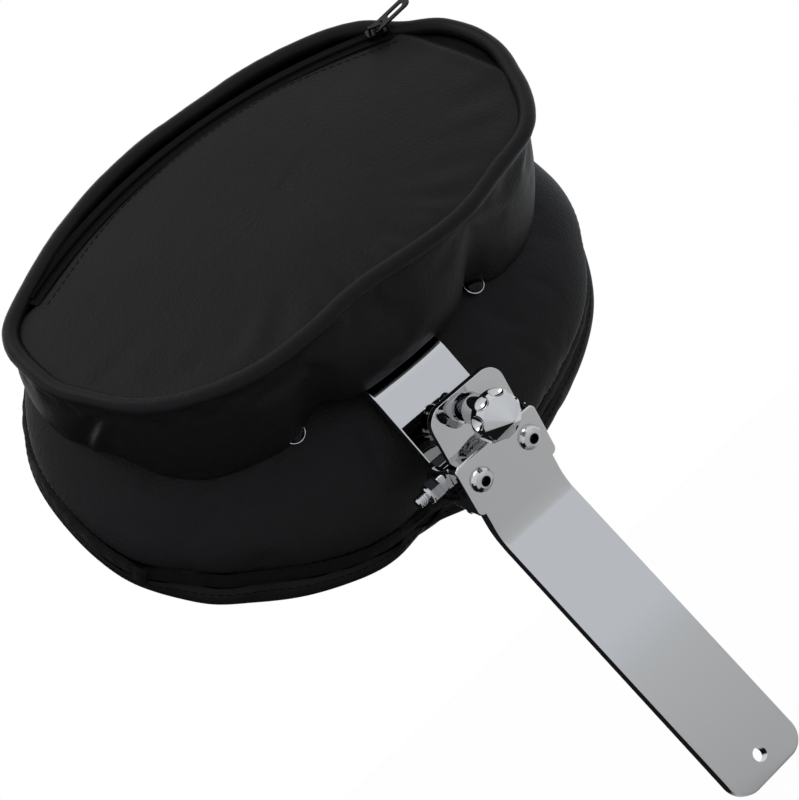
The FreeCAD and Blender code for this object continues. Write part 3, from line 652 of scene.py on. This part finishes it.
# Pad stitching: a line of black bonded thread along the back panel's seam, and one along the front
# panel's. The thread pulls its stitches down to the vinyl.
stitch_tree, stitch_in, stitch_out = geometry_tree("stitch line", ["Pitch", "Length", "Thickness"])
line = put(stitch_tree, "GeometryNodeMeshToCurve", {"Mesh": stitch_in.outputs["Geometry"]})
spots = put(stitch_tree, "GeometryNodeCurveToPoints", {"Curve": line.outputs["Curve"],
                                                       "Length": stitch_in.outputs["Pitch"]}, mode="LENGTH")
bead = put(stitch_tree, "GeometryNodeMeshUVSphere", {"Segments": 6, "Rings": 5, "Radius": 0.5})
shape = put(stitch_tree, "ShaderNodeCombineXYZ", {"X": stitch_in.outputs["Thickness"],
                                                  "Y": stitch_in.outputs["Thickness"],
                                                  "Z": stitch_in.outputs["Length"]})
thread = put(stitch_tree, "GeometryNodeTransform", {"Geometry": bead.outputs["Mesh"],
                                                    "Scale": shape.outputs["Vector"]})
placed = put(stitch_tree, "GeometryNodeInstanceOnPoints", {"Points": spots.outputs["Points"],
                                                           "Instance": thread.outputs["Geometry"],
                                                           "Rotation": spots.outputs["Rotation"]})
close_tree(stitch_tree, stitch_in, stitch_out, placed.outputs["Instances"])

thread_black, thread_nodes, thread_shader = material_with(
    "bonded thread", (0.002, 0.002, 0.002), roughness=0.7, Specular_IOR_Level=0.1)
raise_surface(thread_nodes, thread_shader, speckle(thread_nodes, 2500.0), 0.0002)


def drop_on(points, piece, lift):
    """Move points to the nearest place on a piece, lifted a little off it."""
    laid = []
    for p in points:
        _, place, normal, _ = piece.closest_point_on_mesh(p)
        laid.append(place + normal * lift)
    return laid


STITCH_PITCH = 0.0048
STITCH_LENGTH = 0.0036
THREAD = 0.0006


def stitch(name, points, closed, piece):
    row = path_object(name, drop_on(points, piece, 0.0001), closed)
    grow(row, stitch_tree, Pitch=STITCH_PITCH, Length=STITCH_LENGTH, Thickness=THREAD, Material=thread_black)
    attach(row, "pad_side")
    return row


def pad_ring(level, depth, power):
    share = pad_share(level, depth, power)
    return [pad_point(share, level, t) for t in range(0, 360, 2)]


bpy.context.view_layer.update()
stitch("pad_back_stitches", pad_ring(PAD_SEAM + 0.0032, PAD_BACK, BACK_POWER), True, back_panel)
stitch("pad_front_stitches", pad_ring(-0.0036, -PAD_FRONT, FRONT_POWER), True, front_panel)

# Pouch wall: one long strip of thin vinyl from the piping down to a folded hem on the back of the pad.
# It arches over the strap, and it has creases where it turns round the ends of the pouch.
POUCH_CENTRE = Vector((0, 0.0294, 0.3829))
POUCH_TURN = Matrix.Rotation(math.radians(27), 3, "X")
POUCH_HALF_WIDTH = 0.157
POUCH_HALF_HEIGHT = 0.0855
POUCH_END = 0.074
PIPING, PIPING_INSET = 0.0046, 0.0006     # radius, and how far its middle lies inside the outline
HEM_HALF_WIDTH = 0.155
HEM_HALF_HEIGHT = 0.097
HEM_END = 0.0855
HEM_CENTRE = 0.030
HEM_LIFT = 0.0012
STRAP_REAR, STRAP_CLEAR = 0.070, 0.005    # level of the strap's rear face, and the gap over it
ARCH_HALF = 0.050                         # half the width of the arch over the strap
WALL_MIDDLE = 0.37
VINYL_GAUGE = 0.0014
END_STEPS = 66
LONG_STEPS = 84


def pouch_frame(x, y, z):
    return POUCH_CENTRE + POUCH_TURN @ Vector((x, y, z))


def oval(half_width, half_height, end_radius):
    """Points of an outline of two end arcs and two long arcs, from the low corner of the +X end."""
    a = half_width - end_radius
    long_radius = (a * a + half_height ** 2 - end_radius ** 2) / (2 * (half_height - end_radius))
    opening = math.atan2(long_radius - half_height, a)
    drop = long_radius - half_height
    points = []
    for cx, cz, radius, begin, end, steps in (
            (a, 0, end_radius, -opening, opening, END_STEPS),
            (0, -drop, long_radius, opening, math.pi - opening, LONG_STEPS),
            (-a, 0, end_radius, math.pi - opening, math.pi + opening, END_STEPS),
            (0, drop, long_radius, math.pi + opening, 2 * math.pi - opening, LONG_STEPS)):
        for i in range(steps):
            t = begin + (end - begin) * i / steps
            points.append((cx + radius * math.cos(t), cz + radius * math.sin(t)))
    return points


# Bends of the hem and of the rim, stated as those of the pad.
HEM_BENDS = ((-20, -0.0090, 17), (-71, -0.0100, 5), (-113, -0.0120, 5), (-136, 0.0080, 20))
RIM_BENDS = ((-112, 0.0036, 11), (-86, -0.0048, 11), (-60, 0.0044, 11), (-22, -0.0028, 11), (22, 0.0040, 11),
             (45, -0.0040, 12), (82, 0.0055, 21), (116, 0.0068, 18), (147, -0.0055, 9), (-160, -0.0022, 12),
             (-135, 0.0030, 10))


def rim_turn(x, z):
    return math.degrees(math.atan2(z / POUCH_HALF_HEIGHT, x / POUCH_HALF_WIDTH))


def rim_outline(inset):
    """Outline of the pouch's rim with the bends that its soft edge has taken."""
    points = []
    for x, z in oval(POUCH_HALF_WIDTH - inset, POUCH_HALF_HEIGHT - inset, POUCH_END - inset):
        way = Vector((x / POUCH_HALF_WIDTH ** 2, z / POUCH_HALF_HEIGHT ** 2)).normalized()
        give = bent(rim_turn(x, z), RIM_BENDS)
        points.append((x + way.x * give, z + way.y * give))
    return points


def hem_point(x, z):
    """Place of the hem on the rounded back, raised where it arches over the strap."""
    turn = math.degrees(math.atan2(z / HEM_HALF_HEIGHT, x / HEM_HALF_WIDTH))
    way = Vector((x / HEM_HALF_WIDTH ** 2, z / HEM_HALF_HEIGHT ** 2)).normalized() * bent(turn, HEM_BENDS)
    x, z = x + way.x, z + way.y + HEM_CENTRE
    arch = math.exp(-(x / ARCH_HALF) ** 4) if z < 0 else 0.0
    found, place, _, _ = back_panel.ray_cast(pad_frame(x, 0.2, z), PAD_TURN @ Vector((0, -1, 0)))
    level = (PAD_TURN.inverted() @ (place - PAD_CENTRE)).y + HEM_LIFT if found else 0.0
    return pad_frame(x, level + (STRAP_REAR + STRAP_CLEAR - level) * arch, z)


hem = [hem_point(x, z) for x, z in oval(HEM_HALF_WIDTH, HEM_HALF_HEIGHT, HEM_END)]
under_rim = rim_outline(PIPING_INSET)
under_piping = [pouch_frame(x, -0.004, z) for x, z in under_rim]
WALL_ROWS = 26
FOLD_LOW, FOLD_HIGH = -11, -27   # degrees round the rim where a slanting fold starts at the hem and ends
WALL_BULGE, FOLD_RISE, STRAP_BULGE = 0.0030, 0.0034, 0.0045
wall_rings = []
for r in range(WALL_ROWS + 1):
    s = r / WALL_ROWS
    ring = []
    for low, high, (x, z) in zip(hem, under_piping, under_rim):
        p = low.lerp(high, s)
        out = Vector((p.x, 0, (p.z - WALL_MIDDLE) * 1.6)).normalized()
        past = (rim_turn(x, z) - FOLD_LOW - (FOLD_HIGH - FOLD_LOW) * s) * 0.0023
        fold = math.exp(-(past / 0.0045) ** 2) - 0.8 * math.exp(-((past - 0.011) / 0.007) ** 2)
        over_strap = STRAP_BULGE * math.exp(-(x / ARCH_HALF) ** 4) if z < 0 else 0.0
        p += out * (WALL_BULGE + FOLD_RISE * fold + over_strap) * math.sin(math.pi * min(s + 0.12, 1.0))
        ring.append(p)
    wall_rings.append(ring)
wall = ring_mesh("pouch_wall", wall_rings, False)
face_outwards(wall, Vector((0, -0.02, WALL_MIDDLE)))
ring_count = len(hem)
sewn_low = list(range(2 * ring_count))
sewn_high = list(range(WALL_ROWS * ring_count, (WALL_ROWS + 1) * ring_count))
settle(wall, sewn_low + sewn_high, 0.8, 0.006, 0.005)
smooth_once(wall)
wall.data.materials.append(vinyl)
gauge(wall, VINYL_GAUGE)
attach(wall, "pad_side")
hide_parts("pouch_bag")

# Rear face of the pouch: a nearly flat oval of the same vinyl, sewn to the piping below and at its
# ends, and turned under along the zip at its top.
ZIP_DROP = 0.010
ZIP_END = 0.036
ZIP_GAP = 0.011
ZIP_EASE = 0.0035    # how far the face's edge rises over the middle of the zip
SLIDER_LENGTH = 0.012
zip_span = POUCH_HALF_WIDTH - ZIP_END
zip_sag = POUCH_HALF_HEIGHT - ZIP_DROP - math.sqrt((POUCH_END - ZIP_DROP) ** 2
                                                   - (zip_span - POUCH_HALF_WIDTH + POUCH_END) ** 2)
zip_radius = (zip_span ** 2 + zip_sag ** 2) / (2 * zip_sag)
zip_centre = POUCH_HALF_HEIGHT - ZIP_DROP - zip_radius
face_edge = zip_radius - ZIP_GAP / 2
zip_half = math.asin(zip_span / zip_radius)

FACE_ROWS = 22


def zip_edge(reach):
    """Radius of the face's edge along the zip, at a share of the way to the zip's end."""
    return face_edge + ZIP_EASE * eased(reach, 1.0, 0.4)


rim = []
for x, z in rim_outline(PIPING - PIPING_INSET):
    far = math.hypot(x, z - zip_centre)
    reach = abs(math.atan2(x, z - zip_centre)) / zip_half
    edge = zip_edge(reach)
    if z > 0 and far > edge:
        k = edge / far
        k += (1 - k) * eased(reach, 1.03, 1.22)
        x, z = x * k, zip_centre + (z - zip_centre) * k
    rim.append((x, z))
face_rings = []
for r in range(FACE_ROWS):
    s = 1 - (r / FACE_ROWS) ** 1.15
    crown = 0.0035 * (1 - s ** 4) - 0.0012
    face_rings.append([pouch_frame(x * s, crown, z * s) for x, z in rim])
face = ring_mesh("pouch_rear_face", face_rings, True)
face_outwards(face, Vector((0, -0.02, WALL_MIDDLE)))
settle(face, sewn_low, 0.5, 0.0, 0.003)
smooth_once(face)
# A soft crease cuts off the upper corner beyond the zip's closed end.
CREASE_FROM = Vector((-0.1300, 0.0390))
CREASE_WAY = Vector((-0.188, -0.982))
for v in face.data.vertices:
    local = POUCH_TURN.inverted() @ (v.co - POUCH_CENTRE)
    reach = math.hypot(local.x / POUCH_HALF_WIDTH, local.z / POUCH_HALF_HEIGHT)
    turn = math.atan2(local.z, local.x)
    gather = noise.noise((turn * 7.0, reach * 1.5, 5.0)) * math.exp(-((0.93 - reach) / 0.17) ** 2)
    slack = noise.noise((local.x * 11.0, local.z * 17.0, 2.0))
    lower = 1.0 / (1.0 + math.exp((local.z - 0.025) / 0.012))
    past = (local.x - CREASE_FROM.x) * CREASE_WAY.y - (local.z - CREASE_FROM.y) * CREASE_WAY.x
    along = (local.x - CREASE_FROM.x) * CREASE_WAY.x + (local.z - CREASE_FROM.y) * CREASE_WAY.y
    corner = eased(along, -0.03, 0.0) * eased(along, 0.10, 0.07)
    corner *= 0.0016 * math.exp(-(past / 0.0035) ** 2) - 0.0034 * eased(past, 0.001, 0.012)
    rise = (0.0022 * gather * lower + 0.0012 * slack) * (1 - reach ** 12) + corner
    v.co += POUCH_TURN @ Vector((0, rise, 0))
face.data.materials.append(vinyl)
gauge(face, VINYL_GAUGE)
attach(face, "pad_side")
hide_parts("pouch_face")

# Piping: a round cord wrapped in a strip of vinyl, sewn in all round between the wall and the face.
# The wrapped cord stands up as a smooth welt that is only a little lumpy.
piping_tree, piping_in, piping_out = geometry_tree("covered piping", ["Radius", "Unevenness"])
line = put(piping_tree, "GeometryNodeMeshToCurve", {"Mesh": piping_in.outputs["Geometry"]})
section = put(piping_tree, "GeometryNodeCurvePrimitiveCircle", {
    "Resolution": 16, "Radius": piping_in.outputs["Radius"]})
tube = put(piping_tree, "GeometryNodeCurveToMesh", {
    "Curve": line.outputs["Curve"], "Profile Curve": section.outputs["Curve"]})
lumps = put(piping_tree, "ShaderNodeTexNoise", {"Scale": 60.0, "Detail": 2.0})
lump = sum_of(piping_tree, "MULTIPLY", sum_of(piping_tree, "SUBTRACT", lumps.outputs["Fac"], 0.5),
              piping_in.outputs["Unevenness"])
outwards = put(piping_tree, "GeometryNodeInputNormal").outputs["Normal"]
push = put(piping_tree, "ShaderNodeVectorMath", {0: outwards, "Scale": lump}, operation="SCALE")
swollen = put(piping_tree, "GeometryNodeSetPosition", {
    "Geometry": tube.outputs["Mesh"], "Offset": push.outputs[0]})
close_tree(piping_tree, piping_in, piping_out, swollen.outputs["Geometry"])
piping_vinyl = vinyl_like("piping vinyl", (0.0070, 0.0070, 0.0078), 620.0, 0.34, 0.46, 0.0003)
spine = [pouch_frame(x, -0.001, z) for x, z in rim_outline(PIPING_INSET)]
piping = path_object("pouch_piping_cord", spine, True)
grow(piping, piping_tree, Radius=PIPING, Unevenness=0.0012, Material=piping_vinyl)
face_outwards(piping, POUCH_CENTRE)
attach(piping, "pad_side")
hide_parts("pouch_piping")

# Snap fasteners that hold the hem of the pouch on the pad: small domes plated with black nickel, each
# pressed into a bright rolled rim.
SNAP_RADIUS, SNAP_WIRE, SNAP_STEPS = 0.0060, 0.0004, 32
SNAP_PLACE = Vector((0.0672, -0.0094, 0.2870))
SNAP_FACING = Vector((0.103, 0.994, 0.029))
finish_nodes(plated("black nickel", (0.012, 0.012, 0.013), 0.06, 0.12, 0.0002), "hem_snaps")
for side, word in ((-1, "left"), (1, "right")):
    mirror = Vector((side, 1, 1))
    middle = SNAP_PLACE * mirror
    turn = (SNAP_FACING * mirror).to_track_quat("Z", "Y")
    ring = [middle + turn @ Vector((SNAP_RADIUS * math.cos(math.tau * i / SNAP_STEPS),
                                    SNAP_RADIUS * math.sin(math.tau * i / SNAP_STEPS), 0.0))
            for i in range(SNAP_STEPS)]
    rim = path_object("hem_snap_rim_" + word, ring, True)
    grow(rim, piping_tree, Radius=SNAP_WIRE, Unevenness=0.0, Material=chrome)
    face_outwards(rim, middle)
    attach(rim, "pad_side")

# Pouch stitching: one line along the face's turned edge beside the zip, one under the piping and one
# along the hem.
bpy.context.view_layer.update()


def between(rings, s):
    return [a.lerp(b, s) for a, b in zip(rings[0], rings[-1])]


stitch("hem_stitches", between(wall_rings, 0.10), True, wall)
stitch("under_piping_stitches", between(wall_rings, 0.95), True, wall)
top_edge = []
for i in range(61):
    share = 1.06 * (i / 30 - 1)
    line_radius = zip_edge(abs(share)) - 0.0042
    top_edge.append(pouch_frame(line_radius * math.sin(share * zip_half), 0.004,
                                zip_centre + line_radius * math.cos(share * zip_half)))
stitch("zip_edge_stitches", top_edge, False, face)

# Zip: black woven tapes with a moulded coil along the top of the face, a black slider at its closed
# end and a flat pull with a slot.
tape = woven("zip tape", (0.002, 0.002, 0.002), 1500.0, 0.8, 0.0002)
finish_nodes(tape, "zip_tapes")
tooth_tree, tooth_in, tooth_out = geometry_tree("zip coil", ["Pitch", "Facing", "Size"])
line = put(tooth_tree, "GeometryNodeMeshToCurve", {"Mesh": tooth_in.outputs["Geometry"]})
turned = put(tooth_tree, "GeometryNodeSetCurveNormal", {"Curve": line.outputs["Curve"],
                                                        "Normal": tooth_in.outputs["Facing"]}, mode="FREE")
spots = put(tooth_tree, "GeometryNodeCurveToPoints", {"Curve": turned.outputs["Curve"],
                                                      "Length": tooth_in.outputs["Pitch"]}, mode="LENGTH")
link = put(tooth_tree, "GeometryNodeMeshUVSphere", {"Segments": 8, "Rings": 5, "Radius": 0.5})
link = put(tooth_tree, "GeometryNodeTransform", {"Geometry": link.outputs["Mesh"],
                                                 "Scale": tooth_in.outputs["Size"]})
placed = put(tooth_tree, "GeometryNodeInstanceOnPoints", {"Points": spots.outputs["Points"],
                                                          "Instance": link.outputs["Geometry"],
                                                          "Rotation": spots.outputs["Rotation"]})
close_tree(tooth_tree, tooth_in, tooth_out, placed.outputs["Instances"])
coil_black, coil_tree, coil_shader = material_with(
    "zip coil nylon", (0.002, 0.002, 0.002), roughness=0.5, Specular_IOR_Level=0.08)
coil_tree.links.new(spread(coil_tree, speckle(coil_tree, 300.0), 0.45, 0.65), coil_shader.inputs["Roughness"])
chain_end = zip_half + (SLIDER_LENGTH / 2 + 0.0015) / zip_radius
chain_line = []
for i in range(161):
    t = chain_end * (i / 80 - 1)
    chain_line.append(pouch_frame(zip_radius * math.sin(t), 0.00095, zip_centre + zip_radius * math.cos(t)))
chain = path_object("zip_coil", chain_line, False)
grow(chain, tooth_tree, Pitch=0.0013, Facing=POUCH_TURN @ Vector((0, 1, 0)), Size=(0.0019, 0.0032, 0.0011),
     Material=coil_black)
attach(chain, "pad_side")
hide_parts("zip_chain")
enamel, enamel_tree, enamel_shader = material_with(
    "black enamel", (0.002, 0.002, 0.002), roughness=0.25, Specular_IOR_Level=0.3)
enamel_tree.links.new(spread(enamel_tree, speckle(enamel_tree, 400.0, 4.0), 0.15, 0.4),
                      enamel_shader.inputs["Roughness"])
finish_nodes(enamel, "zip_slider", "zip_pull")

# Studio: a pale floor, soft lamps, a white room and the camera of the photograph. Metal also mirrors a
# black cloth at the left of the room and a greyer horizon: painted reflections that only mirror rays see, in
# the room and on the floor.
FLOOR, FLOOR_HALF = cad_box[0].z - 0.002, 6
WHITE = (1, 1, 1, 1)
HORIZON = (0.84, 0.87, 0.92, 1)
FLAG_WAY, FLAG_START, FLAG_FULL = (0.62, -0.62, -0.48), 0.52, 0.68
PAINTED_FLAG_BLACK = (0.012, 0.012, 0.013, 1)


def flagged(tree, way, colour):
    """Colour that a mirror sees one way, with the black cloth's painted reflection where it hangs, and the
    cloth's share.
    """
    toward = put(tree, "ShaderNodeVectorMath", {0: way, 1: FLAG_WAY}, operation="DOT_PRODUCT")
    dark = put(tree, "ShaderNodeMapRange", {
        "Value": toward.outputs["Value"], "From Min": FLAG_START, "From Max": FLAG_FULL},
        interpolation_type="SMOOTHSTEP").outputs["Result"]
    mix = put(tree, "ShaderNodeMix", {"Factor": dark}, data_type="RGBA")
    if isinstance(colour, bpy.types.NodeSocket):
        tree.links.new(colour, mix.inputs[6])
    else:
        mix.inputs[6].default_value = colour
    mix.inputs[7].default_value = PAINTED_FLAG_BLACK
    return mix.outputs[2], dark


floor_mesh = bpy.data.meshes.new("floor")
corners = ((-1, -1), (1, -1), (1, 1), (-1, 1))
floor_mesh.from_pydata([(x * FLOOR_HALF, y * FLOOR_HALF, FLOOR) for x, y in corners], [], [(0, 1, 2, 3)])
floor = bpy.data.objects.new("floor", floor_mesh)
bpy.context.scene.collection.objects.link(floor)
pale, pale_tree, pale_shader = material_with("pale floor", (0.66, 0.66, 0.65), roughness=0.9)
ray = put(pale_tree, "ShaderNodeLightPath")
spot = put(pale_tree, "ShaderNodeTexCoord").outputs["Object"]
far = put(pale_tree, "ShaderNodeVectorMath", {0: spot}, operation="LENGTH")
far = put(pale_tree, "ShaderNodeMapRange", {"Value": far.outputs["Value"], "From Min": 0.4, "From Max": 2.0},
          interpolation_type="SMOOTHSTEP")
way = put(pale_tree, "ShaderNodeVectorMath", {0: spot, 1: (0, 0, 0.2)}, operation="SUBTRACT")
way = put(pale_tree, "ShaderNodeVectorMath", {0: way.outputs[0]}, operation="NORMALIZE")
# Floor seen by mirror rays: painted reflection of the horizon tone far off and of the black cloth, not the
# floor's own colour.
mirror_tone, cloth = flagged(pale_tree, way.outputs[0], HORIZON)
plain = sum_of(pale_tree, "MAXIMUM", ray.outputs["Is Camera Ray"], ray.outputs["Is Transmission Ray"])
mirrored = sum_of(pale_tree, "MULTIPLY", ray.outputs["Is Glossy Ray"],
                  sum_of(pale_tree, "MAXIMUM", far.outputs["Result"], cloth))
shown = sum_of(pale_tree, "MAXIMUM", sum_of(pale_tree, "MULTIPLY", plain, 0.97), mirrored)
colour = put(pale_tree, "ShaderNodeMix", {"Factor": ray.outputs["Is Glossy Ray"], 7: mirror_tone},
             data_type="RGBA")
colour.inputs[6].default_value = WHITE
glow = put(pale_tree, "ShaderNodeEmission", {"Color": colour.outputs[2], "Strength": 1.0})
blend = put(pale_tree, "ShaderNodeMixShader", {0: shown, 1: pale_shader.outputs[0], 2: glow.outputs[0]})
pale_tree.links.new(blend.outputs[0], pale_tree.nodes["Material Output"].inputs["Surface"])
floor_mesh.materials.append(pale)

world = bpy.data.worlds.new("white room")
bpy.context.scene.world = world
world.use_nodes = True
room = world.node_tree
ray = put(room, "ShaderNodeLightPath")
plain = sum_of(room, "MAXIMUM", ray.outputs["Is Camera Ray"], ray.outputs["Is Transmission Ray"])
seen = sum_of(room, "MAXIMUM", plain, ray.outputs["Is Glossy Ray"])
way = put(room, "ShaderNodeTexCoord").outputs["Generated"]
fade = put(room, "ShaderNodeValToRGB", {"Fac": put(room, "ShaderNodeSeparateXYZ", {0: way}).outputs["Z"]})
fade.color_ramp.elements[0].color = HORIZON
fade.color_ramp.elements[1].position = 0.6
fade.color_ramp.elements[1].color = WHITE
# Room seen by mirror rays: painted reflection of the horizon tone and the black cloth; camera rays see white
# and light rays plain grey.
colour = put(room, "ShaderNodeMix", {"Factor": ray.outputs["Is Glossy Ray"],
                                     7: flagged(room, way, fade.outputs["Color"])[0]}, data_type="RGBA")
colour.inputs[6].default_value = WHITE
dim = put(room, "ShaderNodeBackground", {"Color": (0.80, 0.81, 0.83, 1), "Strength": 1.0})
white = put(room, "ShaderNodeBackground", {"Color": colour.outputs[2], "Strength": 1.0})
room_mix = put(room, "ShaderNodeMixShader", {0: seen, 1: dim.outputs[0], 2: white.outputs[0]})
room.links.new(room_mix.outputs[0], room.nodes["World Output"].inputs["Surface"])


def soft_lamp(name, place, aim, size, power):
    lamp = bpy.data.lights.new(name, "AREA")
    lamp.size = size
    lamp.energy = power
    holder = bpy.data.objects.new(name, lamp)
    holder.location = place
    holder.rotation_euler = (Vector(aim) - Vector(place)).to_track_quat("-Z", "Y").to_euler()
    bpy.context.scene.collection.objects.link(holder)


soft_lamp("key", (0.4, 0.9, 1.9), (0, 0, 0.3), 1.2, 8)
soft_lamp("back", (-0.6, -1.3, 1.5), (0, 0, 0.3), 1.2, 6)

CAMERA_PLACE = (0.331293, 0.898078, 0.150913)
CAMERA_RIGHT = Vector((-0.72087, 0.17073, -0.67171))
CAMERA_UP = Vector((-0.60918, 0.30610, 0.73157))
camera = bpy.data.cameras.new("camera")
camera.lens = 81
camera.sensor_width = 36
holder = bpy.data.objects.new("camera", camera)
axes = Matrix((CAMERA_RIGHT, CAMERA_UP, CAMERA_RIGHT.cross(CAMERA_UP))).transposed()
holder.matrix_world = Matrix.Translation(CAMERA_PLACE) @ axes.to_4x4()
bpy.context.scene.collection.objects.link(holder)
bpy.context.scene.camera = holder
bpy.context.scene.view_settings.view_transform = "Standard"

bpy.context.view_layer.update()
